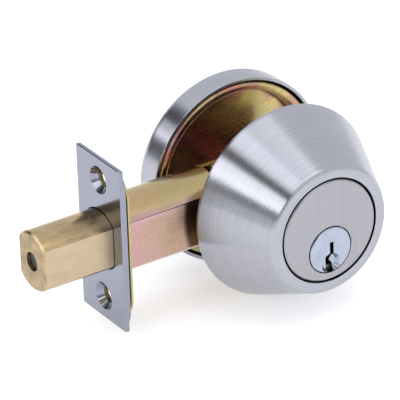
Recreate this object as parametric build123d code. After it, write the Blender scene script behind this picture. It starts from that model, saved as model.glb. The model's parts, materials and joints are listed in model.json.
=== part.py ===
"""Single-cylinder deadbolt door lock: latch unit, keyed cylinder outside, thumbturn inside.

Millimetres. The origin is the centre of the faceplate's outer face, on the bolt's axis.
The bolt is thrown towards -X, the door lies towards +X, the keyed side is -Y, +Z is up.
It is modelled locked: the bolt is out and the cam's arm leans towards the bolt.
"""

import math
import os

from build123d import *

# Where the lock's parts lie
BACKSET = 60.3  # faceplate to the axis of the cross bore
HUB_DROP = 6.7  # plug, tailpiece, cam and thumbturn below the cross bore's axis
SEAT_GAP = 25.2  # collar's rim to rose's rim, with the mounting screws drawn up
THROW = 25.4  # bolt travel
TURN = 90.0  # degrees of cam travel

# Clearances
RUNNING = 0.08  # radial, shaft in its own bearing
SLIDING = 0.35  # bolt in the faceplate and backplate
SEATED = 0.03  # pieces pressed or staked together
FREE = 0.3  # pieces that only have to miss one another
THREAD = 0.05  # screw in its tapped hole, radial
STACK = 0.1  # end play between pieces stacked along an axis
PAST = 1.0  # how far a cutter runs past the face it opens

# Faceplate and backplate
PLATE_W = 25.4
PLATE_H = 57.15
PLATE_T = 1.3
PLATE_CORNER = 0.8
PLATE_EDGE = 0.25  # broken edge of the outer face
LAND_T = 0.7  # rounded land on the faceplate's rear
LAND_INSET = 1.3  # above and below
LAND_CORNER = 5.0
PAD_T = 0.5  # raised pad of the backplate that the faceplate rests on
PAD_INSET = 2.4
BACK_H = 50.8
BACK_T = 0.7
BACK_CORNER = 8.0
CASE_SEAT = 0.3  # depth of the case's front edge in the backplate
WOOD_SCREW_SPACING = 41.3
WOOD_SCREW_HOLE_R = 2.3
WOOD_SCREW_HEAD_R = 4.7
WOOD_SCREW_HALF_ANGLE = 41.0

# Bolt
BOLT_R = 10.0
BOLT_FLAT = 7.6  # half width over the side flats
BOLT_INSIDE = 14.0  # length left behind the faceplate when thrown
BOLT_CHAMFER = 0.6
SAW_BORE_R = 3.2
SAW_PIN_DEPTH = 1.2  # pin's end below the bolt's end
SAW_PIN_LENGTH = 21.0
SAW_PIN_CHAMFER = 0.35

# Latch case
CASE_R = 12.3
CASE_FLAT = 9.2  # half width of the front part
CASE_NARROW = 5.6  # half width of the part around the cam
SHEET = 1.0
CASE_RUN_OUT = 19.7  # case length behind the cam's axis
COVER_LENGTH = 36.4  # faceplate to the cover's rear edge, at its sides
COVER_NOSE = 3.2  # rounded nose of the cover beyond its sides
COVER_EDGE = 7.9  # height of the seam above the axis
REAR_WALL_TOP = 10.6  # height of the open part behind the cover
SEAM = 0.25
SHOULDER_GAP = 0.6  # retracted bolt to the case's shoulder
STAKE_ANGLE = 14.0  # half angle of the staked tabs at the case's front
COVER_TAB = 3.2
COVER_TAB_DROP = 2.2

# Cam and bolt tail
CAM_HUB_R = 3.6
CAM_ARM_T = 1.8
CAM_ARM_R = 2.7
CAM_PIN_R = 1.7
CAM_PIN_SLACK = 0.9  # each side, so a constant ratio can stand for the arm's sine
HUB_STAND_OUT = 0.6  # hub's ends beyond the case
TAIL_T = 2.5
TAIL_NECK = 5.0  # height of the tail in front of the fork
TAIL_RIVET_Z = 1.8
TAIL_PRONG = 2.2
FORK_TIP_ROUND = 0.6
FORK_ROOT_ROUND = 1.0
TAIL_TOP = 12.0
TAIL_BITE = 7.5  # length of tail held in the bolt
TAIL_RIVET_R = 1.2
CASE_RIVET_R = 1.4
CASE_RIVET_HEAD_R = 2.3
CASE_RIVET_HEAD_T = 0.7
CASE_RIVET_SIDE = 8.3  # from the cam's axis
CASE_RIVET_DROP = 0.8
LEAF_T = 0.4
LEAF_HALF_W = 2.0
LEAF_LIFT = 0.35  # above the case's floor
LEAF_HOOK = 1.6  # each way along X at a hooked end

# Tailpiece
BLADE_W = 5.6
BLADE_T = 1.9
BLADE_SLOT = 0.08
BLADE_REACH = 6.4  # into the thumbturn's spindle

# Collar, outside
COLLAR_R = 32.7
COLLAR_LAND = 1.0
COLLAR_DEPTH = 26.3
COLLAR_FRONT_R = 21.5
COLLAR_FRONT_ROUND = 1.8
COLLAR_RIM_ROUND = 0.7
COLLAR_WALL = 1.6
COLLAR_EDGE = 0.3  # broken edges of the rim and the bore
COLLAR_LIP_T = 3.0
LINER_W = 6.6
LINER_INSET = 0.2  # from the rim

# Cylinder housing
DISC_R = 17.25
DISC_GAP = 0.55
DISC_T = 4.0
DISC_PROUD = 0.2  # beyond the collar's lip
DISC_BEVEL = 0.35
BARREL_R = 15.0
HOUSING_BACK = 14.6  # from the latch's axis
FLANGE_T = 3.4
EAR_R = 5.2

# Key plug
PLUG_R = 6.35
PLUG_HEAD_R = 7.75
PLUG_HEAD_GAP = 0.4
PLUG_HEAD_T = 2.2
PLUG_HEAD_BEVEL = 0.25
PLUG_PROUD = 0.35  # head beyond the disc's face
PLUG_BACK = 13.4
PLUG_BOSS_R = 4.9
PLUG_BOSS_L = 1.6
KEY_DISH_R = 3.5
KEY_DISH_DEPTH = 1.3
KEY_DISH_SLOPE = 1.0  # width of its sloping edge
KEY_DISH_DROP = 4.7
KEY_BLADE_LEFT = -0.35  # keyway's outline, from the plug's axis
KEY_BLADE_W = 1.4
KEY_BLADE_TOP = 2.7
KEY_STEP = -1.0
KEY_WARD = 0.3
KEY_FOOT_TOP = -5.6
KEY_FOOT_HALF_W = 1.25
PIN_BORE_DEPTH = 6.25  # pin chambers, from the plug's surface

# Pin stacks
PIN_COUNT = 5
PIN_PITCH = 3.96
PIN_R = 1.46
PIN_CHAMBER_R = 1.5
FIRST_PIN = 5.6  # behind the plug's face
KEY_PIN_LENGTHS = (4.4, 5.6, 4.0, 6.0, 5.0)
KEY_PIN_POINT = 0.8  # chamfer at a key pin's tip
DRIVER_LENGTH = 4.4
SPRING_LENGTH = 5.4
SPRING_R = 1.15
SPRING_WIRE_R = 0.16
SPRING_TURNS = 6
CHAMBER_COVER_T = 1.2
CHAMBER_COVER_HALF_W = 2.5

# Tailpiece cap and clip
CAP_R = 6.2
CAP_LIP_T = 0.8
CAP_BEVEL = 0.3
CAP_HOLE_R = 3.5
TAIL_HEAD_R = 4.0
TAIL_HEAD_T = 1.0
CLIP_T = 0.7
CLIP_OUT_R = 7.4
CLIP_OPEN = 60.0

# Mounting screws and posts
MOUNT_SIDE = 16.4  # each side of the cross bore's axis
MOUNT_DROP = 6.0
MOUNT_SCREW_R = 2.05
MOUNT_HEAD_R = 4.0
MOUNT_CLEAR_R = 2.6
POST_R = 3.4
POST_END = 10.4  # from the latch's axis
POST_LENGTH = 14.0
POST_FLANGE = 1.0  # shoulder that bears on the housing's ear
POST_FLANGE_T = 1.6
SCREW_IN_POST = 12.0
RECESS_W = 0.9
RECESS_L = 4.2
RECESS_DEPTH = 1.3

# Rose and mounting plate, inside
ROSE_R = 32.0
ROSE_DEPTH = 11.2
ROSE_WALL = 1.1
ROSE_ROUND = 4.0
ROSE_LIP_ROUND = 0.3
PAN_GAP = 0.6  # rose to mounting plate
PAN_T = 1.1
PAN_BEAD_W = 2.9
PAN_RIM_DROP = 0.1  # bead below the rose's rim
PAN_FLOOR = 5.6  # bead to floor
PAN_SKIRT = 2.6
PAN_SLOPE = 1.0  # width of the dished side
PAN_FLOOR_ROUND = 0.9
PAN_BEAD_ROUND = 1.0
PAN_RIM_ROUND = 1.3
PAN_INNER = 0.2  # rounds on the bead's hollow side

# Thumbturn
SPINDLE_R = 4.5
SPINDLE_STAND_OUT = 0.6  # beyond its bush, on the latch side
BUSH_WALL = 1.2
BUSH_FLANGE_R = 7.4
BUSH_FLANGE_T = 0.9
BUSH_REACH = 1.6
THUMB_BASE_R = 9.0
THUMB_BASE_T = 2.6
THUMB_LENGTH = 35.0
THUMB_W = 8.4
THUMB_HEIGHT = 17.0
THUMB_ROUND = 1.3
THUMB_EDGE = 0.3
THUMB_BASE_TAPER = 0.6
THUMB_BASE_ROUND = 1.0
THUMB_HOLLOW_R = 38.5  # finger hollow in each side of the grip
THUMB_HOLLOW = 1.1
THUMB_FOOT = 1.5  # grip above its base that the hollows leave
WASHER_T = 0.4
WASHER_OUT_R = 7.2
E_CLIP_T = 0.7
E_CLIP_R = 7.0
E_CLIP_GRIP = 0.8  # how much narrower its mouth is than the groove, each side
GROOVE_DEPTH = 0.7

# Places worked out from the sizes above
AXIS_X = BACKSET
AXIS_Z = -HUB_DROP
COLLAR_RIM = -SEAT_GAP / 2
COLLAR_FACE = COLLAR_RIM - COLLAR_DEPTH
DISC_FACE = COLLAR_FACE - DISC_PROUD
ROSE_RIM = SEAT_GAP / 2
ROSE_BACK = ROSE_RIM + ROSE_DEPTH
FACE_REAR = PLATE_T + LAND_T
BACK_FRONT = FACE_REAR + PAD_T
BACK_REAR = BACK_FRONT + BACK_T
CASE_FRONT = BACK_REAR - CASE_SEAT
CASE_END = BACKSET + CASE_RUN_OUT
COVER_TIP = COVER_LENGTH + COVER_NOSE
SHOULDER_X = BOLT_INSIDE + THROW + SHOULDER_GAP
ARM_LENGTH = THROW / (2 * math.sin(math.radians(TURN / 2)))
PIN_X = AXIS_X - THROW / 2
PIN_Z = AXIS_Z + ARM_LENGTH * math.cos(math.radians(TURN / 2))
ARM_NEAR = TAIL_T / 2 + FREE + STACK
PAN_BEAD_Y = ROSE_RIM + PAN_RIM_DROP
PAN_FLOOR_Y = PAN_BEAD_Y + PAN_FLOOR
PAN_OUT_R = ROSE_R - ROSE_WALL - PAN_GAP
ROSE_INNER_BACK = ROSE_BACK - ROSE_WALL
PLUG_TOP = AXIS_Z + PLUG_R
CHAMBER_TOP = PLUG_TOP + RUNNING + DRIVER_LENGTH + SPRING_LENGTH + 2 * STACK
MOUNT_Z = -MOUNT_DROP
MOUNT_XS = (AXIS_X - MOUNT_SIDE, AXIS_X + MOUNT_SIDE)
WOOD_SCREW_ZS = (-WOOD_SCREW_SPACING / 2, WOOD_SCREW_SPACING / 2)
CASE_RIVET_XS = (AXIS_X - CASE_RIVET_SIDE, AXIS_X + CASE_RIVET_SIDE)
CASE_RIVET_Z = AXIS_Z - CASE_RIVET_DROP


def block(x0, x1, y0, y1, z0, z1):
    """Box between two corners."""
    centre = Location(((x0 + x1) / 2, (y0 + y1) / 2, (z0 + z1) / 2))
    return centre * Box(x1 - x0, y1 - y0, z1 - z0)


def rod(radius, length):
    """Cylinder that stands on its own plane."""
    return Cylinder(radius, length, align=(Align.CENTER, Align.CENTER, Align.MIN))


def rod_x(radius, x0, x1, y=0.0, z=0.0):
    """Cylinder along X."""
    return Plane((x0, y, z), z_dir=(1, 0, 0)) * rod(radius, x1 - x0)


def rod_y(radius, y0, y1, x=AXIS_X, z=AXIS_Z):
    """Cylinder along Y."""
    return Plane((x, y0, z), z_dir=(0, 1, 0)) * rod(radius, y1 - y0)


def rod_z(radius, z0, z1, x, y):
    """Cylinder along Z."""
    return Location((x, y, z0)) * rod(radius, z1 - z0)


def turned(points, rounds=None, x=AXIS_X, z=0.0):
    """Solid turned about an axis along Y, from an outline of (radius, y) points."""
    if rounds is None:
        outline = Polyline(*points, close=True)
    else:
        outline = FilletPolyline(*points, radius=rounds, close=True)
    face = Plane((x, 0, z)) * make_face(outline.edges())
    return revolve(face, Axis((x, 0, z), (0, 1, 0)))


def cone_x(r0, r1, x0, x1, z):
    """Cone along X from radius r0 at x0 to r1 at x1."""
    face = make_face(Polyline((x0, 0), (x1, 0), (x1, r1), (x0, r0), close=True).edges())
    placed = Plane((0, 0, z), x_dir=(1, 0, 0), z_dir=(0, -1, 0)) * face
    return revolve(placed, Axis((0, 0, z), (1, 0, 0)))


def flatted_bar(radius, flat, x0, x1):
    """Round bar along X with a flat on each side."""
    return rod_x(radius, x0, x1) & block(x0, x1, -flat, flat, -radius, radius)


def plate_yz(width, height, corner, x0, x1):
    """Upright plate with rounded corners, across the X axis."""
    plane = Plane((x0, 0, 0), x_dir=(0, 1, 0), z_dir=(1, 0, 0))
    return extrude(plane * RectangleRounded(width, height, corner), x1 - x0)


def outline_xz(points, y0, y1, rounds=None):
    """Flat piece from an outline of (x, z) points, between two Y planes."""
    if rounds is None:
        outline = Polyline(*points, close=True)
    else:
        outline = FilletPolyline(*points, radius=rounds, close=True)
    plane = Plane((0, y1, 0), x_dir=(1, 0, 0), z_dir=(0, -1, 0))
    return extrude(plane * make_face(outline.edges()), y1 - y0)


def bolt_opening(x0, x1):
    return flatted_bar(BOLT_R + SLIDING, BOLT_FLAT + SLIDING, x0, x1)


def screw_seats(solid):
    """Cuts the two countersunk wood screw seats through the faceplate and backplate."""
    for z in WOOD_SCREW_ZS:
        slope = math.tan(math.radians(WOOD_SCREW_HALF_ANGLE))
        solid -= cone_x(WOOD_SCREW_HEAD_R, WOOD_SCREW_HEAD_R - BACK_FRONT * slope, 0, BACK_FRONT, z)
        solid -= rod_x(WOOD_SCREW_HOLE_R, 0, BACK_REAR + PAST, z=z)
    return solid


def faceplate():
    plate = plate_yz(PLATE_W, PLATE_H, PLATE_CORNER, 0, PLATE_T)
    plate = chamfer(plate.faces().sort_by(Axis.X)[0].edges(), PLATE_EDGE)
    plate += plate_yz(PLATE_W, PLATE_H - 2 * LAND_INSET, LAND_CORNER, PLATE_T, FACE_REAR)
    plate -= bolt_opening(-1, FACE_REAR + PAST)
    return screw_seats(plate)


def stake_tab(lower, grow):
    """Tab at the case's front edge, staked through the backplate."""
    ring = rod_x(CASE_R + grow, BACK_FRONT, BACK_REAR + SHEET)
    ring -= rod_x(CASE_R - SHEET - grow, 0, CASE_END)
    reach = CASE_R * math.sin(math.radians(STAKE_ANGLE)) + grow
    side = -1 if lower else 1
    z0, z1 = sorted((0, side * 2 * CASE_R))
    return ring & block(BACK_FRONT, BACK_REAR + SHEET, -reach, reach, z0, z1)


def backplate():
    plate = plate_yz(PLATE_W, BACK_H, BACK_CORNER, BACK_FRONT, BACK_REAR)
    pad_w = PLATE_W - 2 * PAD_INSET
    pad_h = BACK_H - 2 * PAD_INSET
    plate += plate_yz(pad_w, pad_h, BACK_CORNER - PAD_INSET, FACE_REAR, BACK_FRONT)
    plate -= bolt_opening(0, BACK_REAR + PAST)
    plate -= flatted_bar(CASE_R + SEATED, CASE_FLAT + SEATED, CASE_FRONT, BACK_REAR + PAST)
    for lower in (True, False):
        plate -= stake_tab(lower, SEATED)
    return screw_seats(plate)


def case_space(inset, reach):
    """Outline of the case, wide round the bolt and narrow round the cam, taken in by inset."""
    wide = flatted_bar(CASE_R - inset, CASE_FLAT - inset, CASE_FRONT, SHOULDER_X + SHEET - inset)
    narrow = flatted_bar(CASE_R - inset, CASE_NARROW - inset, SHOULDER_X - PAST, CASE_END + reach)
    return wide + narrow


def cover_tabs(grow):
    """Tabs of the cover that drop into notches in the case's side walls."""
    tabs = None
    for side in (-1, 1):
        y0, y1 = sorted((side * (CASE_FLAT - SHEET), side * CASE_FLAT))
        x0 = COVER_LENGTH - COVER_TAB
        foot = COVER_EDGE - COVER_TAB_DROP
        tab = block(x0 - grow, COVER_LENGTH + grow, y0, y1, foot - grow, COVER_EDGE)
        tabs = tab if tabs is None else tabs + tab
    return tabs


def latch_case():
    case = case_space(0, 0) - case_space(SHEET, 1)
    case -= block(CASE_FRONT - PAST, COVER_TIP + SEAM, -CASE_R, CASE_R, COVER_EDGE - SEAM, 2 * CASE_R)
    case -= block(COVER_TIP, CASE_END + PAST, -CASE_R, CASE_R, REAR_WALL_TOP, 2 * CASE_R)
    case += stake_tab(True, 0)
    case -= cover_tabs(SEATED)
    case -= rod_y(CAM_HUB_R + RUNNING, -CASE_R, CASE_R)
    for x in CASE_RIVET_XS:
        case -= rod_y(CASE_RIVET_R + SEATED, -CASE_R, CASE_R, x, CASE_RIVET_Z)
    for x in MOUNT_XS:
        case -= rod_y(MOUNT_CLEAR_R, -CASE_R, CASE_R, x, MOUNT_Z)
    return case


def case_cover():
    """Crown of the case, with a rounded nose over the cam's space."""
    nose_r = (CASE_FLAT**2 + COVER_NOSE**2) / (2 * COVER_NOSE)
    shell = flatted_bar(CASE_R, CASE_FLAT, CASE_FRONT, COVER_TIP)
    shell -= flatted_bar(CASE_R - SHEET, CASE_FLAT - SHEET, 0, CASE_END)
    nose = rod_z(nose_r, COVER_EDGE, CASE_R, COVER_TIP - nose_r, 0)
    shell &= block(CASE_FRONT, COVER_LENGTH, -CASE_R, CASE_R, COVER_EDGE, CASE_R) + nose
    return shell + stake_tab(False, 0) + cover_tabs(0)


def case_rivets():
    rivets = []
    for x in CASE_RIVET_XS:
        end = CASE_NARROW + CASE_RIVET_HEAD_T
        rivet = rod_y(CASE_RIVET_R, -end, end, x, CASE_RIVET_Z)
        for side in (-1, 1):
            y0, y1 = sorted((side * CASE_NARROW, side * end))
            rivet += rod_y(CASE_RIVET_HEAD_R, y0, y1, x, CASE_RIVET_Z)
        rivets.append(rivet)
    return Compound(children=rivets)


def cam_spring():
    """Leaf under the cam, with its ends hooked up below the two case rivets."""
    low = -CASE_R + SHEET + LEAF_LIFT
    top = CASE_RIVET_Z - CASE_RIVET_R - FREE
    x0, x1 = CASE_RIVET_XS
    path = [(x0 - LEAF_HOOK, top), (x0 + LEAF_HOOK, low), (x1 - LEAF_HOOK, low), (x1 + LEAF_HOOK, top)]
    upper = [(x, z + LEAF_T) for x, z in reversed(path)]
    return outline_xz(path + upper, -LEAF_HALF_W, LEAF_HALF_W)


def bolt():
    bar = flatted_bar(BOLT_R, BOLT_FLAT, -THROW, BOLT_INSIDE)
    bar = chamfer(bar.faces().sort_by(Axis.X)[0].edges(), BOLT_CHAMFER)
    bar -= rod_x(SAW_BORE_R, -THROW - PAST, -THROW + SAW_PIN_DEPTH + SAW_PIN_LENGTH + FREE)
    half = TAIL_T / 2 + SEATED
    slot = BOLT_INSIDE - TAIL_BITE - SEATED
    bar -= block(slot, BOLT_INSIDE + PAST, -half, half, -SEATED, TAIL_NECK + SEATED)
    return bar - rod_y(TAIL_RIVET_R, -BOLT_R, BOLT_R, BOLT_INSIDE - TAIL_BITE / 2, TAIL_RIVET_Z)


def anti_saw_pin():
    start = -THROW + SAW_PIN_DEPTH
    pin = rod_x(SAW_BORE_R - RUNNING, start, start + SAW_PIN_LENGTH)
    return chamfer(pin.edges().filter_by(GeomType.CIRCLE), SAW_PIN_CHAMFER)


def bolt_tail():
    """Strip from the bolt to an upright fork that the cam's pin works in."""
    inner = CAM_PIN_R + CAM_PIN_SLACK
    outer = inner + TAIL_PRONG
    start = BOLT_INSIDE - TAIL_BITE
    floor = PIN_Z - inner
    points = [
        (start, 0),
        (PIN_X + outer, 0),
        (PIN_X + outer, TAIL_TOP),
        (PIN_X + inner, TAIL_TOP),
        (PIN_X + inner, floor),
        (PIN_X - inner, floor),
        (PIN_X - inner, TAIL_TOP),
        (PIN_X - outer, TAIL_TOP),
        (PIN_X - outer, TAIL_NECK),
        (start, TAIL_NECK),
    ]
    tip, root = FORK_TIP_ROUND, FORK_ROOT_ROUND
    rounds = [0, root, tip, tip, root, root, tip, tip, root, 0]
    strip = outline_xz(points, -TAIL_T / 2, TAIL_T / 2, rounds)
    return strip - rod_y(TAIL_RIVET_R, -BOLT_R, BOLT_R, BOLT_INSIDE - TAIL_BITE / 2, TAIL_RIVET_Z)


def tail_rivet():
    end = BOLT_FLAT - STACK
    return rod_y(TAIL_RIVET_R - SEATED, -end, end, BOLT_INSIDE - TAIL_BITE / 2, TAIL_RIVET_Z)


def blade(grow, y0, y1):
    """Bar of the tailpiece, upright at rest."""
    w = BLADE_W / 2 + grow
    t = BLADE_T / 2 + grow
    return block(AXIS_X - t, AXIS_X + t, y0, y1, AXIS_Z - w, AXIS_Z + w)


def cam_arm(y0, y1):
    """Arm plate from the hub to the pin, as the outline tangent to both circles."""
    dx, dz = PIN_X - AXIS_X, PIN_Z - AXIS_Z
    along = math.atan2(dz, dx)
    lean = math.acos((CAM_HUB_R - CAM_ARM_R) / ARM_LENGTH)
    corners = []
    for x, z, r, side in (
        (AXIS_X, AXIS_Z, CAM_HUB_R, 1),
        (PIN_X, PIN_Z, CAM_ARM_R, 1),
        (PIN_X, PIN_Z, CAM_ARM_R, -1),
        (AXIS_X, AXIS_Z, CAM_HUB_R, -1),
    ):
        angle = along + side * lean
        corners.append((x + r * math.cos(angle), z + r * math.sin(angle)))
    arm = outline_xz(corners, y0, y1)
    return arm + rod_y(CAM_HUB_R, y0, y1) + rod_y(CAM_ARM_R, y0, y1, PIN_X, PIN_Z)


def cam():
    end = CASE_NARROW + HUB_STAND_OUT
    hub = rod_y(CAM_HUB_R, -end, end)
    for side in (-1, 1):
        y0, y1 = sorted((side * ARM_NEAR, side * (ARM_NEAR + CAM_ARM_T)))
        hub += cam_arm(y0, y1)
    hub -= rod_y(CAM_PIN_R, -CASE_R, CASE_R, PIN_X, PIN_Z)
    return hub - blade(BLADE_SLOT, -CASE_R, CASE_R)


def cam_pin():
    end = ARM_NEAR + CAM_ARM_T
    return rod_y(CAM_PIN_R - SEATED, -end, end, PIN_X, PIN_Z)


def collar():
    """Tapered guard collar: a turned shell with a thick lip round the cylinder's face."""
    bore = DISC_R + DISC_GAP
    lean = (COLLAR_R - COLLAR_FRONT_R) / (COLLAR_DEPTH - COLLAR_LAND)
    inner_rim = COLLAR_R - COLLAR_WALL
    inner_lip = COLLAR_FRONT_R + COLLAR_LIP_T * lean - COLLAR_WALL
    points = [
        (COLLAR_R, COLLAR_RIM),
        (COLLAR_R, COLLAR_RIM - COLLAR_LAND),
        (COLLAR_FRONT_R, COLLAR_FACE),
        (bore, COLLAR_FACE),
        (bore, COLLAR_FACE + COLLAR_LIP_T),
        (inner_lip, COLLAR_FACE + COLLAR_LIP_T),
        (inner_rim, COLLAR_RIM - COLLAR_LAND),
        (inner_rim, COLLAR_RIM),
    ]
    rounds = [COLLAR_EDGE, COLLAR_RIM_ROUND, COLLAR_FRONT_ROUND, COLLAR_EDGE, 0, 0, 0, 0]
    return turned(points, rounds)


def collar_liner():
    """Steel ring that backs the collar's rim against the door."""
    outer = COLLAR_R - COLLAR_WALL - SEATED
    inner = outer - LINER_W
    near = COLLAR_RIM - LINER_INSET
    far = COLLAR_RIM - COLLAR_LAND
    return turned([(outer, near), (outer, far), (inner, far), (inner, near)])


def keyway(y0, y1):
    """Slot of the key's section: a narrow top, a step to the left and a wide foot open below."""
    left, right = KEY_BLADE_LEFT, KEY_BLADE_LEFT + KEY_BLADE_W
    low = -PLUG_HEAD_R - PAST
    points = [
        (left, KEY_BLADE_TOP),
        (right, KEY_BLADE_TOP),
        (right, KEY_STEP - KEY_BLADE_W),
        (left + KEY_WARD, KEY_STEP - 2 * KEY_BLADE_W),
        (left + 2 * KEY_WARD, KEY_FOOT_TOP + KEY_BLADE_W),
        (KEY_FOOT_HALF_W, KEY_FOOT_TOP),
        (KEY_FOOT_HALF_W, low),
        (-KEY_FOOT_HALF_W, low),
        (-KEY_FOOT_HALF_W, KEY_STEP - KEY_BLADE_W),
        (left, KEY_STEP),
    ]
    return outline_xz([(AXIS_X + x, AXIS_Z + z) for x, z in points], y0, y1)


def pin_places():
    """Y of each pin stack, from the face back."""
    return [DISC_FACE + FIRST_PIN + i * PIN_PITCH for i in range(PIN_COUNT)]


def cylinder_housing():
    """Face disc, barrel round the plug and pins, and a back flange with an ear for each post."""
    body = turned(
        [
            (0, DISC_FACE),
            (DISC_R, DISC_FACE),
            (DISC_R, DISC_FACE + DISC_T),
            (BARREL_R, DISC_FACE + DISC_T),
            (BARREL_R, -HOUSING_BACK),
            (0, -HOUSING_BACK),
        ]
    )
    rim = body.edges().filter_by(GeomType.CIRCLE).filter_by(lambda e: abs(e.radius - DISC_R) < 0.01)
    body = chamfer(rim.sort_by(Axis.Y)[0], DISC_BEVEL)
    flange_front = -HOUSING_BACK - FLANGE_T
    for x in MOUNT_XS:
        body += rod_y(EAR_R, flange_front, -HOUSING_BACK, x, MOUNT_Z)
        x0, x1 = sorted((x, AXIS_X))
        body += block(x0, x1, flange_front, -HOUSING_BACK, MOUNT_Z - EAR_R, MOUNT_Z + EAR_R)
        body -= rod_y(POST_R + SEATED, flange_front - PAST, 0, x, MOUNT_Z)
        pocket = -POST_END - POST_LENGTH - FREE
        body -= rod_y(POST_R + POST_FLANGE + FREE, pocket, flange_front, x, MOUNT_Z)
    body -= rod_y(PLUG_R + RUNNING, COLLAR_FACE - PAST, 0)
    body -= rod_y(PLUG_HEAD_R + PLUG_HEAD_GAP, COLLAR_FACE - PAST, DISC_FACE + PLUG_HEAD_T - PLUG_PROUD + FREE)
    for y in pin_places():
        body -= rod_z(PIN_CHAMBER_R, PLUG_TOP - PAST, CHAMBER_TOP + STACK, AXIS_X, y)
    slot_y0, slot_y1 = chamber_cover_span()
    w = CHAMBER_COVER_HALF_W + SEATED
    return body - block(AXIS_X - w, AXIS_X + w, slot_y0, slot_y1, CHAMBER_TOP, 2 * BARREL_R)


def chamber_cover_span():
    places = pin_places()
    return places[0] - PIN_PITCH / 2, places[-1] + PIN_PITCH / 2


def pin_chamber_cover():
    y0, y1 = chamber_cover_span()
    w = CHAMBER_COVER_HALF_W
    low = CHAMBER_TOP + SEATED
    strip = block(AXIS_X - w, AXIS_X + w, y0 + SEATED, y1 - SEATED, low, low + CHAMBER_COVER_T)
    return strip & rod_y(BARREL_R, COLLAR_FACE, 0, z=0)


def plug_clip_y():
    return -HOUSING_BACK + 2 * STACK


def key_plug():
    """Plug with its head, broached keyway, pin chambers, clip groove and boss for the cap."""
    face = DISC_FACE - PLUG_PROUD
    plug = rod_y(PLUG_HEAD_R, face, face + PLUG_HEAD_T)
    plug = chamfer(plug.edges().filter_by(GeomType.CIRCLE).sort_by(Axis.Y)[0], PLUG_HEAD_BEVEL)
    plug += rod_y(PLUG_R, face + PLUG_HEAD_T, -PLUG_BACK)
    plug += rod_y(PLUG_BOSS_R, -PLUG_BACK, -PLUG_BACK + PLUG_BOSS_L)
    groove_y = plug_clip_y() - STACK / 2
    groove = rod_y(PLUG_R + PAST, groove_y, groove_y + CLIP_T + STACK)
    plug -= groove - rod_y(PLUG_R - GROOVE_DEPTH, COLLAR_FACE, 0)
    dish_z = AXIS_Z - KEY_DISH_DROP
    floor = face + KEY_DISH_DEPTH
    dish = [(0, face), (KEY_DISH_R, face), (KEY_DISH_R - KEY_DISH_SLOPE, floor), (0, floor)]
    plug -= turned(dish, z=dish_z)
    plug -= keyway(face - PAST, pin_places()[-1] + PIN_PITCH / 2)
    for y in pin_places():
        plug -= rod_z(PIN_CHAMBER_R, PLUG_TOP - PIN_BORE_DEPTH, PLUG_TOP + PAST, AXIS_X, y)
    return plug


def key_pins():
    """One pointed pin for each cut, held level with the plug's surface as by the right key."""
    top = AXIS_Z + math.sqrt(PLUG_R**2 - PIN_R**2) - SEATED
    pins = []
    for y, length in zip(pin_places(), KEY_PIN_LENGTHS):
        pin = rod_z(PIN_R, top - length, top, AXIS_X, y)
        pins.append(chamfer(pin.edges().filter_by(GeomType.CIRCLE).sort_by(Axis.Z)[0], KEY_PIN_POINT))
    return Compound(children=pins)


def driver_base():
    return PLUG_TOP + RUNNING + SEATED


def driver_pins():
    base = driver_base()
    pins = [rod_z(PIN_R, base, base + DRIVER_LENGTH, AXIS_X, y) for y in pin_places()]
    return Compound(children=pins)


def pin_springs():
    base = driver_base() + DRIVER_LENGTH + SPRING_WIRE_R
    height = CHAMBER_TOP - SPRING_WIRE_R - SEATED - base
    path = Helix(height / SPRING_TURNS, height, SPRING_R)
    section = Plane(path @ 0, z_dir=path % 0) * Circle(SPRING_WIRE_R)
    coil = sweep(section, path=path, is_frenet=True)
    return Compound(children=[Location((AXIS_X, y, base)) * coil for y in pin_places()])


def plug_clip():
    """Open ring in the plug's groove, behind the housing."""
    y0 = plug_clip_y()
    y1 = y0 + CLIP_T
    ring = rod_y(CLIP_OUT_R, y0, y1) - rod_y(PLUG_R - GROOVE_DEPTH + SEATED, y0 - PAST, y1 + PAST)
    reach = CLIP_OUT_R + 1
    half = reach * math.tan(math.radians(CLIP_OPEN / 2))
    mouth = [(AXIS_X, AXIS_Z), (AXIS_X - half, AXIS_Z - reach), (AXIS_X + half, AXIS_Z - reach)]
    return ring - outline_xz(mouth, y0 - PAST, y1 + PAST)


def cap_depths():
    """Y of the cap's front, its inner step, its lip and its back."""
    front = -PLUG_BACK + STACK
    step = -PLUG_BACK + PLUG_BOSS_L
    lip = step + 2 * FREE + TAIL_HEAD_T + STACK
    return front, step, lip, lip + CAP_LIP_T


def tailpiece_cap():
    front, step, lip, back = cap_depths()
    cap = rod_y(CAP_R, front, back)
    cap = chamfer(cap.edges().filter_by(GeomType.CIRCLE).sort_by(Axis.Y)[-1], CAP_BEVEL)
    cap -= rod_y(PLUG_BOSS_R + SEATED, front - PAST, step)
    cap -= rod_y(TAIL_HEAD_R + FREE, step - STACK, lip)
    return cap - rod_y(CAP_HOLE_R, lip - PAST, back + PAST)


def tailpiece():
    """Flat bar with a round head, from the plug's cap through the cam to the thumbturn."""
    head = cap_depths()[1] + FREE
    bar = blade(0, head, spindle_inner_end() + BLADE_REACH)
    return rod_y(TAIL_HEAD_R, head, head + TAIL_HEAD_T) + bar


def mounting_posts():
    posts = []
    for x in MOUNT_XS:
        post = rod_y(POST_R, -POST_END - POST_LENGTH, -POST_END, x, MOUNT_Z)
        shoulder = -HOUSING_BACK - FLANGE_T
        post += rod_y(POST_R + POST_FLANGE, shoulder - POST_FLANGE_T, shoulder, x, MOUNT_Z)
        posts.append(post - rod_y(MOUNT_SCREW_R + THREAD, COLLAR_FACE, 0, x, MOUNT_Z))
    return Compound(children=posts)


def countersink(radius, tip, x):
    """Cone for a flat screw head in the rose's back."""
    depth = radius - tip
    points = [(0, ROSE_BACK), (radius, ROSE_BACK), (tip, ROSE_BACK - depth), (0, ROSE_BACK - depth)]
    return turned(points, x=x, z=MOUNT_Z)


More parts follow.
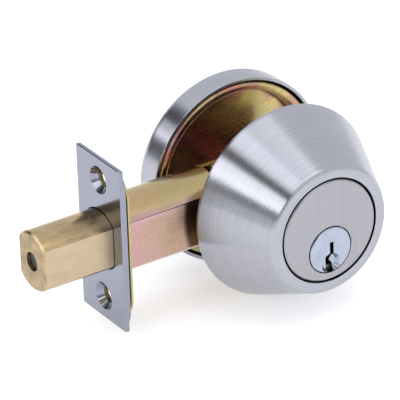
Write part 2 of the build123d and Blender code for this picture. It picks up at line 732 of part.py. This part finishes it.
def mounting_screws():
    screws = []
    for x in MOUNT_XS:
        end = -POST_END - SCREW_IN_POST
        screw = rod_y(MOUNT_SCREW_R, end, ROSE_BACK - PAST, x, MOUNT_Z)
        screw += countersink(MOUNT_HEAD_R, MOUNT_SCREW_R, x)
        half, arm = RECESS_W / 2, RECESS_L / 2
        y0, y1 = ROSE_BACK - RECESS_DEPTH, ROSE_BACK + 1
        screw -= block(x - half, x + half, y0, y1, MOUNT_Z - arm, MOUNT_Z + arm)
        screw -= block(x - arm, x + arm, y0, y1, MOUNT_Z - half, MOUNT_Z + half)
        screws.append(screw)
    return Compound(children=screws)


def rose():
    """Drawn cup with its open side to the door, pierced for the spindle and two screws."""
    inner = ROSE_R - ROSE_WALL
    points = [
        (ROSE_R, ROSE_RIM),
        (ROSE_R, ROSE_BACK),
        (0, ROSE_BACK),
        (0, ROSE_INNER_BACK),
        (inner, ROSE_INNER_BACK),
        (inner, ROSE_RIM),
    ]
    rounds = [ROSE_LIP_ROUND, ROSE_ROUND, 0, 0, ROSE_ROUND - ROSE_WALL, ROSE_LIP_ROUND]
    cup = turned(points, rounds)
    cup -= rod_y(SPINDLE_R + RUNNING, ROSE_RIM, ROSE_BACK + PAST)
    for x in MOUNT_XS:
        cup -= countersink(MOUNT_HEAD_R + SEATED, MOUNT_SCREW_R + SEATED, x)
        cup -= rod_y(MOUNT_SCREW_R + FREE, ROSE_RIM, ROSE_BACK, x, MOUNT_Z)
    return cup


def mounting_plate():
    """Dished sheet with a rolled rim that backs the rose."""
    bead_in = PAN_OUT_R - PAN_BEAD_W
    floor_r = bead_in - PAN_SLOPE
    points = [
        (0, PAN_FLOOR_Y + PAN_T),
        (0, PAN_FLOOR_Y),
        (floor_r, PAN_FLOOR_Y),
        (bead_in, PAN_BEAD_Y),
        (PAN_OUT_R, PAN_BEAD_Y),
        (PAN_OUT_R, PAN_BEAD_Y + PAN_SKIRT),
        (PAN_OUT_R - PAN_T, PAN_BEAD_Y + PAN_SKIRT),
        (PAN_OUT_R - PAN_T, PAN_BEAD_Y + PAN_T),
        (bead_in + PAN_T, PAN_BEAD_Y + PAN_T),
        (floor_r + PAN_T, PAN_FLOOR_Y + PAN_T),
    ]
    outside = [0, 0, PAN_FLOOR_ROUND, PAN_BEAD_ROUND, PAN_RIM_ROUND]
    inside = [0, 0, PAN_INNER, PAN_INNER, PAN_FLOOR_ROUND + PAN_T]
    pan = turned(points, outside + inside)
    pan -= rod_y(SPINDLE_R + RUNNING + BUSH_WALL + SEATED, 0, ROSE_BACK)
    for x in MOUNT_XS:
        pan -= rod_y(MOUNT_SCREW_R + FREE, 0, ROSE_BACK, x, MOUNT_Z)
    return pan


def spindle_inner_end():
    """The spindle's end on the latch side."""
    return PAN_FLOOR_Y - BUSH_REACH - SPINDLE_STAND_OUT


def spindle_bushing():
    """Flanged plastic bush in the mounting plate's centre hole."""
    y0 = PAN_FLOOR_Y - BUSH_REACH
    bush = rod_y(SPINDLE_R + RUNNING + BUSH_WALL, y0, PAN_FLOOR_Y + PAN_T)
    bush += rod_y(BUSH_FLANGE_R, PAN_FLOOR_Y - BUSH_FLANGE_T, PAN_FLOOR_Y)
    return bush - rod_y(SPINDLE_R + RUNNING, y0 - PAST, ROSE_BACK)


def clip_y():
    return PAN_FLOOR_Y + PAN_T + FREE


def spindle():
    """Round stem of the thumbturn, slotted for the tailpiece and grooved for its clip."""
    stem = rod_y(SPINDLE_R, spindle_inner_end(), ROSE_BACK + FREE)
    stem -= blade(BLADE_SLOT, spindle_inner_end() - PAST, spindle_inner_end() + BLADE_REACH + FREE)
    groove = rod_y(SPINDLE_R + PAST, clip_y() - SEATED, clip_y() + E_CLIP_T + SEATED)
    return stem - (groove - rod_y(SPINDLE_R - GROOVE_DEPTH, 0, ROSE_BACK))


def spindle_clip():
    ring = rod_y(E_CLIP_R, clip_y(), clip_y() + E_CLIP_T)
    ring -= rod_y(SPINDLE_R - GROOVE_DEPTH + SEATED, 0, ROSE_BACK)
    mouth = SPINDLE_R - GROOVE_DEPTH - E_CLIP_GRIP
    low = AXIS_Z - E_CLIP_R - PAST
    return ring - block(AXIS_X - mouth, AXIS_X + mouth, 0, ROSE_BACK, low, AXIS_Z)


def wave_washer():
    """Thin washer between the clip and the rose's inner face."""
    y1 = ROSE_INNER_BACK - STACK
    ring = rod_y(WASHER_OUT_R, y1 - WASHER_T, y1)
    return ring - rod_y(SPINDLE_R + FREE, 0, y1 + PAST)


def thumbturn():
    """Round base with an upstanding grip, level when the bolt is out."""
    y0 = ROSE_BACK + FREE
    y1 = y0 + THUMB_BASE_T
    base = turned(
        [(0, y0), (THUMB_BASE_R, y0), (THUMB_BASE_R - THUMB_BASE_TAPER, y1), (0, y1)],
        [0, THUMB_EDGE, THUMB_BASE_ROUND, 0],
        z=AXIS_Z,
    )
    end = y0 + THUMB_HEIGHT
    grip_plane = Plane((AXIS_X, y1 - PAST, AXIS_Z), x_dir=(1, 0, 0), z_dir=(0, 1, 0))
    grip = extrude(grip_plane * SlotOverall(THUMB_LENGTH, THUMB_W), end - y1 + PAST)
    reach = THUMB_HOLLOW_R + THUMB_W / 2 - THUMB_HOLLOW
    for side in (-1, 1):
        grip -= rod_y(THUMB_HOLLOW_R, y1 + THUMB_FOOT, end + PAST, AXIS_X, AXIS_Z + side * reach)
    top = grip.faces().sort_by(Axis.Y)[-1].edges()
    grip = fillet(top, THUMB_ROUND)
    return base + grip


PIECES = (
    faceplate,
    backplate,
    latch_case,
    case_cover,
    case_rivets,
    cam_spring,
    bolt,
    anti_saw_pin,
    bolt_tail,
    tail_rivet,
    cam,
    cam_pin,
    tailpiece,
    collar,
    collar_liner,
    cylinder_housing,
    pin_chamber_cover,
    driver_pins,
    pin_springs,
    mounting_posts,
    key_plug,
    key_pins,
    plug_clip,
    tailpiece_cap,
    mounting_screws,
    rose,
    mounting_plate,
    spindle_bushing,
    wave_washer,
    spindle_clip,
    spindle,
    thumbturn,
)

os.makedirs("parts", exist_ok=True)
for piece in PIECES:
    export_step(piece(), f"parts/{piece.__name__}.step")
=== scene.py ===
"""Looks for the deadbolt door lock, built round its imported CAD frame. Blender 4.5."""

import json
import math

import bpy
from mathutils import Matrix, Vector


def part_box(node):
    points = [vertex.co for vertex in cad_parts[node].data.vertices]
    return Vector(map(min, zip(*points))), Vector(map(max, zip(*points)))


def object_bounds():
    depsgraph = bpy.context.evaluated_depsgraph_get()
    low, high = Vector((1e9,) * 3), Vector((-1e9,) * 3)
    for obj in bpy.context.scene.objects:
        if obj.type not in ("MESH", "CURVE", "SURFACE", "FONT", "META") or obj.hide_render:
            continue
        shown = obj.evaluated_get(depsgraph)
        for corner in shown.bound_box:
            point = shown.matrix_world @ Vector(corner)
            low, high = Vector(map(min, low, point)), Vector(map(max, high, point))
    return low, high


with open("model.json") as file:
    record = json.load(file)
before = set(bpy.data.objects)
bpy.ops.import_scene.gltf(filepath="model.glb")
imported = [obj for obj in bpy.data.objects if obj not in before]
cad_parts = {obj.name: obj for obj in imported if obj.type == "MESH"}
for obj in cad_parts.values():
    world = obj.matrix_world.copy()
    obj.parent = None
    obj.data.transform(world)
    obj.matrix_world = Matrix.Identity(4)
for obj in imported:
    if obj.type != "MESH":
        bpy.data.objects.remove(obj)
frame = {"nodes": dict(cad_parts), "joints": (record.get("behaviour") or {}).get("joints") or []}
cad_low, cad_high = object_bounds()
nodes = frame["nodes"]
MM = 0.001

# ---------------------------------------------------------------- places read from the frame
TURN_AXIS = Vector(next(j for j in frame["joints"] if j["name"] == "thumb_turn")["pos_m"])
CROSS_AXIS = Vector((TURN_AXIS.x, 0, 0))
PLUG_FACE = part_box("key_plug")[0].y
DISC_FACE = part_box("cylinder_housing")[0].y
CASE_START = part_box("latch_case")[0].x
COLLAR_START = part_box("collar")[0].x

# ---------------------------------------------------------------- colours and surface depths
CHROME = (0.415, 0.422, 0.472)
FACE_CHROME = (0.375, 0.371, 0.406)
PLATE_CHROME = (0.29, 0.302, 0.368)
OLIVE = (0.47, 0.42, 0.19)
GOLD = (0.56, 0.42, 0.19)
TAN = (0.60, 0.43, 0.27)
PINK = (0.66, 0.40, 0.40)
GREEN = (0.40, 0.42, 0.20)
BROWN = (0.43, 0.27, 0.21)
RED = (0.58, 0.24, 0.16)
PLUM = (0.50, 0.28, 0.32)
FOLD_PINK = (0.56, 0.36, 0.40)
# Flank colours from front to rear: the pink and tan are the zinc's own colour; the dark brown at the rear
# end is painted shade of the collar.
CASE_SIDE_AND_SHADE = [
    (0.0, (0.52, 0.32, 0.33)),
    (0.3, (0.50, 0.32, 0.27)),
    (0.55, (0.44, 0.30, 0.22)),
    (0.95, (0.26, 0.17, 0.13)),
]
CASE_TOP = [
    (0.0, (0.43, 0.37, 0.18)),
    (0.35, (0.46, 0.35, 0.18)),
    (0.65, (0.50, 0.35, 0.20)),
    (1.0, (0.53, 0.35, 0.25)),
]
CASE_UNDER = [(0.0, (0.60, 0.38, 0.34)), (0.5, (0.56, 0.40, 0.28)), (1.0, (0.52, 0.40, 0.22))]
DRAWN_BRASS = [(0.0, (0.30, 0.215, 0.125)), (0.5, (0.46, 0.34, 0.19)), (1.0, (0.58, 0.45, 0.27))]
MILLED_BRASS = [(0.0, (0.52, 0.41, 0.27)), (1.0, (0.59, 0.475, 0.33))]
NICKEL = [(0.3, (0.37, 0.41, 0.50)), (0.7, (0.43, 0.47, 0.575))]
BARE_BRASS = [(0.3, (0.44, 0.32, 0.14)), (0.7, (0.58, 0.44, 0.22))]
NYLON = [(0.3, (0.70, 0.69, 0.63)), (0.7, (0.80, 0.79, 0.74))]
FLOOR = [(0.3, (0.79, 0.79, 0.79)), (0.7, (0.81, 0.81, 0.81))]
CUT_DEPTH = 0.00002  # metres, of the fine lines and grain
POLISH_DEPTH = 0.00001
NOISE_LOW, NOISE_HIGH = 0.3, 0.7  # where a noise's values mostly lie
FINE_LOW, FINE_HIGH = 0.25, 0.75
GAP_SHADE = 0.05  # painted shade: what is left of a colour deep in a narrow gap
SPREAD_TURN = 0.25  # of a full turn, from round the axis to along it
CUT_SLANT = 1.37  # how far a turned pattern moves outwards as it goes along the axis
NO_RADIUS = 1e-5  # metres, kept off zero for a division


# ---------------------------------------------------------------- node helpers
class Tree:
    """Builds nodes in a node tree; sockets are passed about as plain values."""

    def __init__(self, node_tree):
        self.nodes = node_tree.nodes
        self.links = node_tree.links

    def add(self, kind, inputs=(), **settings):
        node = self.nodes.new("ShaderNode" + kind)
        for key, value in settings.items():
            setattr(node, key, value)
        for key, value in dict(inputs).items():
            self.put(node.inputs[key], value)
        return node

    def put(self, socket, value):
        if isinstance(value, bpy.types.NodeSocket):
            self.links.new(value, socket)
        elif socket.type == "RGBA" and len(value) == 3:
            socket.default_value = (*value, 1)
        else:
            socket.default_value = value

    def math(self, operation, a, b=0.0):
        return self.add("Math", {0: a, 1: b}, operation=operation).outputs[0]

    def plus(self, a, b):
        return self.math("ADD", a, b)

    def times(self, a, b):
        return self.math("MULTIPLY", a, b)

    def size(self, value):
        return self.math("ABSOLUTE", value)

    def vector(self, operation, a, b=(0, 0, 0)):
        return self.add("VectorMath", {0: a, 1: b}, operation=operation).outputs[0]

    def split(self, vector):
        return self.add("SeparateXYZ", {0: vector}).outputs

    def join(self, x, y, z):
        return self.add("CombineXYZ", {0: x, 1: y, 2: z}).outputs[0]

    def span(self, value, low, high, to_low=0.0, to_high=1.0, curve="LINEAR"):
        """Carries low..high over to to_low..to_high, and holds the ends beyond."""
        inputs = {"Value": value, "From Min": low, "From Max": high, "To Min": to_low, "To Max": to_high}
        return self.add("MapRange", inputs, interpolation_type=curve).outputs["Result"]

    def smooth(self, value, low, high, to_low=0.0, to_high=1.0):
        return self.span(value, low, high, to_low, to_high, "SMOOTHSTEP")


class Surface(Tree):
    """One material's nodes, and the patterns its surface is made of."""

    def __init__(self, name):
        self.material = bpy.data.materials.new(name)
        self.material.use_nodes = True
        super().__init__(self.material.node_tree)
        self.shader = self.nodes["Principled BSDF"]

    def place(self):
        """Position in the row frame, in metres."""
        return self.add("TexCoord").outputs["Object"]

    def cells(self, cell):
        """Position counted in cells, so that a pattern stretches along a cell's long side."""
        return self.vector("DIVIDE", self.place(), cell)

    def facing(self):
        """The surface's own direction in the row frame."""
        return self.add("TexCoord").outputs["Normal"]

    def noise(self, vector, scale=1.0, detail=2.0, roughness=0.5):
        inputs = {"Vector": vector, "Scale": scale, "Detail": detail, "Roughness": roughness}
        return self.add("TexNoise", inputs).outputs["Fac"]

    def ramp(self, factor, stops):
        node = self.add("ValToRGB", {"Fac": factor})
        elements = node.color_ramp.elements
        while len(elements) < len(stops):
            elements.new(0.5)
        for element, (where, colour) in zip(elements, stops):
            element.position = where
            element.color = (*colour, 1)
        return node.outputs["Color"]

    def sway(self, noise, to_low=0.0, to_high=1.0):
        """A noise's usual values, stretched to the given range."""
        return self.span(noise, NOISE_LOW, NOISE_HIGH, to_low, to_high)

    def mix(self, factor, a, b, blend="MIX"):
        node = self.add("Mix", data_type="RGBA", blend_type=blend)
        self.put(node.inputs["Factor"], factor)
        self.put(node.inputs[6], a)
        self.put(node.inputs[7], b)
        return node.outputs[2]

    def scale(self, colour, level):
        return self.add("VectorMath", {0: colour, "Scale": level}, operation="SCALE").outputs[0]

    def shade(self, colour, level):
        """Multiplies a colour by a grey."""
        return self.mix(1.0, colour, self.join(level, level, level), "MULTIPLY")

    def paint_gap_shade(self, colour, depth):
        """Paints shade inside narrow gaps by darkening a colour; depth runs from 0 at the opening to 1
        well inside.
        """
        return self.shade(colour, self.span(depth, 0.0, 1.0, 1.0, GAP_SHADE))

    def bump(self, height, strength, depth=CUT_DEPTH):
        inputs = {"Height": height, "Strength": strength, "Distance": depth}
        return self.add("Bump", inputs).outputs["Normal"]

    def finish(self, **inputs):
        for key, value in inputs.items():
            self.put(self.shader.inputs[key.replace("_", " ")], value)
        return self.material

    def metal(self, colour, gloss, normal):
        return self.finish(Base_Color=colour, Metallic=1.0, Roughness=gloss, Normal=normal)


# ---------------------------------------------------------------- patterns of lines
def round_lines(pitch, run):
    """Lines round the cross bore's axis: their spacing in metres, and how often they break on the way."""
    return lambda t: turned_place(t, CROSS_AXIS, pitch, run)


def long_lines(x, y, z):
    """Lines along the longest side of a cell, given in metres."""
    return lambda t: t.cells((x, y, z))


def turned_place(t, centre, pitch, run):
    """Coordinates that stretch a pattern round an axis along Y: fine across the cut, long round it."""
    x, y, z = t.split(t.vector("SUBTRACT", t.place(), centre))
    radius = t.math("SQRT", t.plus(t.times(x, x), t.times(z, z)))
    safe = t.math("MAXIMUM", radius, NO_RADIUS)
    across = t.math("DIVIDE", t.plus(radius, t.times(y, CUT_SLANT)), pitch)
    around_x = t.times(t.math("DIVIDE", x, safe), run)
    around_z = t.times(t.math("DIVIDE", z, safe), run)
    return t.join(around_x, around_z, across)


# ---------------------------------------------------------------- where painted shade darkens narrow gaps
def side_walls(face_y, reach):
    """1 on walls square to a face, from just behind it to the given reach; there the colour gets painted
    shade.
    """

    def depth(t):
        _, ny, _ = t.split(t.facing())
        _, y, _ = t.split(t.place())
        behind = t.span(y, face_y + 0.2 * MM, face_y + 0.5 * MM)
        near = t.times(behind, t.span(y, face_y + reach, face_y + reach / 2))
        return t.times(t.span(t.size(ny), 0.65, 0.4), near)

    return depth


def facing_axis(axis):
    """1 on walls turned in towards an axis along Y; there the colour gets painted shade."""

    def depth(t):
        nx, _, nz = t.split(t.facing())
        x, _, z = t.split(t.vector("SUBTRACT", t.place(), axis))
        outward = t.plus(t.times(x, nx), t.times(z, nz))
        return t.span(outward, -4 * MM, -10 * MM)

    return depth


def screw_hole_walls(half_width):
    """Near 1 on the walls and front of an upright plate by its middle line, seen through screw holes;
    there the colour gets painted shade.
    """

    def depth(t):
        nx, _, _ = t.split(t.facing())
        _, y, _ = t.split(t.place())
        middle = t.span(t.size(y), half_width, half_width * 0.9, 0.0, 0.75)
        return t.times(t.span(nx, 0.6, 0.3), middle)

    return depth


# ---------------------------------------------------------------- materials
def brushed(name, lines, base, rough, spread=0.0, bite=0.25, tone=0.05, gap=None):
    """Satin plated metal with fine lines: tone shifts, roughness and a shallow cut follow them.

    A spread above 0 draws highlights out along the door's thickness, as turned metal does.
    """
    t = Surface(name)
    where = lines(t)
    fine = t.noise(where, 1.0, 3.0, 0.65)
    broad = t.noise(where, 0.17)
    cloud = t.noise(t.place(), 55.0)
    level = t.plus(t.span(fine, FINE_LOW, FINE_HIGH, -tone, tone), t.sway(broad, -tone, tone))
    colour = t.scale(base, t.plus(level, t.sway(cloud, 0.975, 1.0)))
    # painted shade in narrow gaps
    if gap:
        colour = t.paint_gap_shade(colour, gap(t))
    gloss = t.span(fine, FINE_LOW, FINE_HIGH, rough - 0.05, rough + 0.06)
    gloss = t.plus(gloss, t.sway(cloud, -0.015, 0.015))
    if spread:
        tangent = t.add("Tangent", direction_type="RADIAL", axis="Y").outputs[0]
        t.finish(Anisotropic=spread, Anisotropic_Rotation=SPREAD_TURN, Tangent=tangent)
    return t.metal(colour, gloss, t.bump(fine, bite))


def turned_chrome(name, gap=None):
    return brushed(name, round_lines(0.16 * MM, 7.0), CHROME, 0.25, spread=0.8, bite=0.24, gap=gap)


def zinc(name, stops, cell, seed=0.0, rough=0.34, bite=0.18, gap=None):
    """Yellow chromate on zinc: colours drift in soft bands and fine rolling lines catch the light."""
    t = Surface(name)
    place = t.vector("ADD", t.place(), (seed, seed * 0.7, seed * 0.4))
    drift = t.noise(t.vector("DIVIDE", place, (cell, cell, cell)), 1.0, 2.5, 0.55)
    lines = t.noise(t.vector("DIVIDE", place, (4 * MM, 4 * MM, 0.6 * MM)), 1.0, 3.0, 0.6)
    mottle = t.noise(place, 900.0, 2.0, 0.6)
    factor = t.plus(drift, t.sway(lines, -0.035, 0.035))
    colour = t.ramp(t.span(factor, 0.28, 0.72), stops)
    colour = t.shade(colour, t.span(mottle, 0.35, 0.7, 1.04, 0.93))
    # painted shade in narrow gaps
    if gap:
        colour = t.paint_gap_shade(colour, gap(t))
    gloss = t.plus(t.sway(lines, rough - 0.04, rough + 0.05), t.sway(mottle, -0.02, 0.03))
    return t.metal(colour, gloss, t.bump(lines, bite))


def case_zinc():
    """The case's zinc: pink flanks that turn tan rearwards and dark brown by the collar, that dark brown
    being painted shade of the collar; olive crown; pink by the folds.
    """
    t = Surface("case_zinc")
    x, _, z = t.split(t.place())
    _, ny, nz = t.split(t.facing())
    drift = t.noise(t.cells((16 * MM, 20 * MM, 9 * MM)))
    lines = t.noise(t.cells((9 * MM, 0.9 * MM, 0.9 * MM)), 1.0, 3.0, 0.6)
    mottle = t.noise(t.place(), 1100.0, 2.0, 0.6)
    wander = t.plus(t.sway(drift, -0.5, 0.5), t.sway(lines, -0.05, 0.05))
    # Runs from the case's front to past the collar; its far end paints the collar's shade on the flanks.
    rearwards = t.span(x, CASE_START, COLLAR_START + 10 * MM)
    side = t.ramp(t.plus(rearwards, t.times(wander, 0.35)), CASE_SIDE_AND_SHADE)
    top = t.ramp(t.plus(wander, 0.5), CASE_TOP)
    under = t.ramp(t.plus(wander, 0.5), CASE_UNDER)
    flat = t.span(t.size(ny), 0.80, 0.97)
    below = t.span(nz, 0.0, -0.25)
    by_fold = t.times(t.span(z, 9.8 * MM, 8.3 * MM), t.span(z, 5.8 * MM, 7.2 * MM))
    by_fold = t.times(by_fold, t.span(wander, -0.3, 0.2, 0.3, 0.75))
    colour = t.mix(below, t.mix(flat, top, side), t.mix(flat, under, side))
    colour = t.mix(by_fold, colour, FOLD_PINK)
    colour = t.shade(colour, t.span(mottle, 0.35, 0.7, 1.05, 0.93))
    gloss = t.plus(t.sway(lines, 0.17, 0.25), t.sway(mottle, -0.02, 0.03))
    return t.metal(colour, gloss, t.bump(lines, 0.15))


def bolt_brass():
    """Machined brass: bright milled flats, darker drawn crown, fine lines along the bolt."""
    t = Surface("bolt_brass")
    nx, ny, _ = t.split(t.facing())
    lines = t.noise(t.cells((12 * MM, 0.35 * MM, 0.35 * MM)), 1.0, 3.0, 0.6)
    grain = t.noise(t.place(), 2600.0, 2.0, 0.7)
    patch = t.noise(t.cells((12 * MM, 6 * MM, 6 * MM)), 1.0, 3.0, 0.6)
    flat = t.span(t.size(ny), 0.90, 0.985)
    drawn = t.ramp(t.span(patch, 0.3, 0.72), DRAWN_BRASS)
    colour = t.mix(flat, drawn, t.ramp(t.sway(patch), MILLED_BRASS))
    colour = t.shade(colour, t.span(t.size(nx), 0.8, 0.95, 1.0, 0.78))
    colour = t.shade(colour, t.plus(t.sway(lines, 0.95, 1.04), t.sway(grain, -0.06, 0.05)))
    gloss = t.plus(t.span(flat, 0.0, 1.0, 0.24, 0.42), t.sway(lines, -0.03, 0.04))
    height = t.plus(t.times(lines, 0.6), t.times(grain, 0.4))
    return t.metal(colour, gloss, t.bump(height, 0.4))


def plug_metal():
    """Bright nickel on the plug's face, bare machined brass inside and behind it, with painted shade on
    the keyway walls just behind the face.
    """
    t = Surface("plug_metal")
    _, y, _ = t.split(t.place())
    grain = t.noise(turned_place(t, TURN_AXIS, 0.12 * MM, 3.0), 1.0, 3.0, 0.6)
    cloud = t.noise(t.place(), 260.0)
    inside = t.span(y, PLUG_FACE + 1.4 * MM, PLUG_FACE + 1.8 * MM)
    colour = t.mix(inside, t.ramp(cloud, NICKEL), t.ramp(cloud, BARE_BRASS))
    # painted shade on the keyway walls just behind the face
    colour = t.paint_gap_shade(colour, side_walls(PLUG_FACE, 3 * MM)(t))
    return t.metal(colour, t.sway(grain, 0.20, 0.28), t.bump(grain, 0.1, POLISH_DEPTH))


def plain_metal(name, base, rough):
    """Small steel and brass pieces: a soft mottle in colour, gloss and height."""
    t = Surface(name)
    grain = t.noise(t.cells((1.2 * MM, 1.2 * MM, 1.2 * MM)), 1.0, 4.0, 0.6)
    cloud = t.noise(t.place(), 180.0)
    colour = t.scale(base, t.plus(t.sway(grain, -0.06, 0.06), t.sway(cloud, 0.88, 1.12)))
    gloss = t.plus(t.sway(grain, rough - 0.05, rough + 0.06), t.sway(cloud, -0.03, 0.03))
    return t.metal(colour, gloss, t.bump(grain, 0.2))


def nylon():
    """Cream moulded plastic."""
    t = Surface("nylon")
    grain = t.noise(t.place(), 1500.0, 3.0, 0.6)
    gloss = t.sway(grain, 0.42, 0.52)
    return t.finish(Base_Color=t.ramp(grain, NYLON), Roughness=gloss, Normal=t.bump(grain, 0.1))


def dress(material, *names):
    for name in names:
        mesh = nodes[name].data
        mesh.materials.clear()
        mesh.materials.append(material)


def add_chrome():
    # painted shade on the collar's walls that face in towards the disc
    dress(turned_chrome("collar_chrome", gap=facing_axis(CROSS_AXIS)), "collar")
    up_and_down = long_lines(0.18 * MM, 0.18 * MM, 12 * MM)
    # painted shade on the housing's walls just behind its face, in the narrow gaps round the disc
    disc_gap_shade = side_walls(DISC_FACE, 4 * MM)
    face = brushed("face_chrome", up_and_down, FACE_CHROME, 0.33, tone=0.035, gap=disc_gap_shade)
    dress(face, "cylinder_housing")
    dress(turned_chrome("rose_chrome"), "rose")
    along_plate = long_lines(0.4 * MM, 0.25 * MM, 20 * MM)
    dress(brushed("plate_chrome", along_plate, PLATE_CHROME, 0.13, tone=0.03, bite=0.1), "faceplate")
    along_thumb = long_lines(20 * MM, 0.3 * MM, 0.3 * MM)
    dress(brushed("thumb_chrome", along_thumb, CHROME, 0.30), "thumbturn")
    dress(brushed("screw_chrome", round_lines(0.2 * MM, 3.0), CHROME, 0.25), "mounting_screws")


def add_zinc():
    plate_stops = [(0.0, GREEN), (0.4, OLIVE), (0.7, GOLD), (1.0, TAN)]
    # painted shade on the backplate where it shows through the faceplate's screw holes
    dress(zinc("backplate_zinc", plate_stops, 20 * MM, 0.3, gap=screw_hole_walls(5 * MM)), "backplate")
    dress(case_zinc(), "latch_case", "case_cover")
    works_stops = [(0.0, BROWN), (0.5, GOLD), (1.0, OLIVE)]
    dress(zinc("works_zinc", works_stops, 8 * MM, 0.9), "bolt_tail", "cam")
    pan_stops = [
        (0.0, GREEN),
        (0.22, OLIVE),
        (0.42, GOLD),
        (0.58, BROWN),
        (0.74, RED),
        (0.88, PLUM),
        (1.0, PINK),
    ]
    dress(zinc("pan_zinc", pan_stops, 18 * MM, 1.7, rough=0.22, bite=0.03), "mounting_plate")
    dress(zinc("liner_zinc", [(0.0, OLIVE), (1.0, GOLD)], 20 * MM, 2.1), "collar_liner")


def add_small_metal():
    dress(bolt_brass(), "bolt")
    dress(plug_metal(), "key_plug")
    dress(plain_metal("hard_steel", (0.10, 0.105, 0.115), 0.42), "anti_saw_pin")
    brass = plain_metal("pin_brass", (0.56, 0.43, 0.22), 0.28)
    dress(brass, "key_pins", "driver_pins", "pin_chamber_cover")
    bright = plain_metal("bright_steel", (0.50, 0.50, 0.52), 0.28)
    dress(bright, "mounting_posts", "tailpiece", "tailpiece_cap", "spindle")
    rivet = plain_metal("rivet_steel", (0.46, 0.45, 0.44), 0.34)
    dress(rivet, "case_rivets", "cam_pin", "tail_rivet")
    spring = plain_metal("spring_steel", (0.26, 0.26, 0.28), 0.3)
    dress(spring, "cam_spring", "pin_springs", "plug_clip", "wave_washer", "spindle_clip")
    dress(nylon(), "spindle_bushing")


# ---------------------------------------------------------------- camera, floor and light
CAMERA_PLACE = (-567.7, -945.4, 600.2)  # mm in the row frame
CAMERA_TURN = (32.62, 28.07, 2.01)  # degrees of yaw, pitch down and roll
SENSOR_WIDTH, LENS = 36.0, 360.0
FLOOR_HALF = 6.0  # metres
FLOOR_GAP = 0.2 * MM
FLOOR_GLOW = 0.46
TENT = (0.96, 0.975, 1.0, 1)
# Dark strips: bottom and top in degrees, darkness, and their ends along the door's thickness as sines.
DARK_STRIPS = (
    (15, 34, 0.62, -0.75, 0.45),
    (36, 57, 0.92, -0.75, 0.90),
    (-10, 22, 0.85, 0.45, 0.95),
    (57, 66, 0.8, 0.45, 0.90),
)
STRIP_SOFT = 5
END_SOFT = 0.2
# Soft boxes: degrees round and up from the object, then metres, then light given off.
PANELS = (
    dict(
        name="left_box", azimuth=-90, elevation=35, distance=2.0, width=3.4, height=0.74, radiance=2.1,
        slide=0.4,
    ),
    dict(name="high_box", azimuth=-90, elevation=67, distance=2.0, width=2.0, height=0.8, radiance=0.85),
    dict(name="top_box", azimuth=20, elevation=75, distance=2.2, width=1.2, height=1.2, radiance=1.2),
)


def add_camera():
    """Long lens from the outside, above and towards the bolt."""
    yaw, pitch, roll = (math.radians(a) for a in CAMERA_TURN)
    ahead = math.cos(pitch)
    forward = Vector((math.sin(yaw) * ahead, math.cos(yaw) * ahead, -math.sin(pitch)))
    level = Vector((math.cos(yaw), -math.sin(yaw), 0))
    under = forward.cross(level)
    right = level * math.cos(roll) + under * math.sin(roll)
    down = under * math.cos(roll) - level * math.sin(roll)
    data = bpy.data.cameras.new("camera")
    data.sensor_width = SENSOR_WIDTH
    data.lens = LENS
    data.clip_start, data.clip_end = 0.1, 20.0
    camera = bpy.data.objects.new("camera", data)
    rotation = Matrix((right, -down, -forward)).transposed().to_4x4()
    camera.matrix_world = Matrix.Translation(Vector(CAMERA_PLACE) * MM) @ rotation
    bpy.context.scene.collection.objects.link(camera)
    bpy.context.scene.camera = camera


def toward(azimuth, elevation):
    """Unit vector from the object; azimuth 0 is -Y and 90 is +X."""
    a, e = math.radians(azimuth), math.radians(elevation)
    return Vector((math.sin(a) * math.cos(e), -math.cos(a) * math.cos(e), math.sin(e)))


def add_panel(name, azimuth, elevation, distance, width, height, radiance, slide=0.0):
    """Soft box that faces the object, or the place that far along the door's thickness from it."""
    data = bpy.data.lights.new(name, "AREA")
    data.shape = "RECTANGLE"
    data.size, data.size_y = width, height
    data.energy = radiance * width * height * math.pi
    light = bpy.data.objects.new(name, data)
    out = toward(azimuth, elevation)
    light.location = CROSS_AXIS + out * distance + Vector((0, slide, 0))
    light.rotation_mode = "QUATERNION"
    light.rotation_quaternion = out.to_track_quat("Z", "Y")
    bpy.context.scene.collection.objects.link(light)


def add_floor():
    z = cad_low.z - FLOOR_GAP
    corners = [(x * FLOOR_HALF, y * FLOOR_HALF, z) for x, y in ((-1, -1), (1, -1), (1, 1), (-1, 1))]
    mesh = bpy.data.meshes.new("floor")
    mesh.from_pydata(corners, [], [(0, 1, 2, 3)])
    t = Surface("floor_white")
    grain = t.noise(t.place(), 300.0)
    t.shader.inputs["Emission Color"].default_value = (1, 1, 1, 1)
    t.shader.inputs["Emission Strength"].default_value = FLOOR_GLOW
    mesh.materials.append(t.finish(Base_Color=t.ramp(grain, FLOOR), Roughness=0.9))
    floor = bpy.data.objects.new("floor", mesh)
    bpy.context.scene.collection.objects.link(floor)


def add_world():
    """Pale tent with dark strips round the left soft box; they run along the door's thickness."""
    world = bpy.data.worlds.new("studio")
    bpy.context.scene.world = world
    world.use_nodes = True
    t = Tree(world.node_tree)
    x, y, z = t.split(t.add("TexCoord").outputs["Generated"])
    rise = t.math("ARCTAN2", z, t.times(x, -1.0))
    strength = None
    for bottom, top, darkness, near, far in DARK_STRIPS:
        up = t.smooth(rise, math.radians(bottom - STRIP_SOFT), math.radians(bottom))
        down = t.smooth(rise, math.radians(top), math.radians(top + STRIP_SOFT), 1.0, 0.0)
        start = t.smooth(y, near - END_SOFT, near)
        end = t.smooth(y, far, far + END_SOFT, 1.0, 0.0)
        cut = t.times(t.times(t.times(up, down), t.times(start, end)), darkness)
        left = t.math("SUBTRACT", 1.0, cut)
        strength = left if strength is None else t.times(strength, left)
    background = t.nodes["Background"]
    t.links.new(strength, background.inputs["Strength"])
    background.inputs["Color"].default_value = TENT


def add_studio():
    add_floor()
    add_world()
    for panel in PANELS:
        add_panel(**panel)
    bpy.context.scene.view_settings.view_transform = "Standard"


add_chrome()
add_zinc()
add_small_metal()
add_studio()
add_camera()
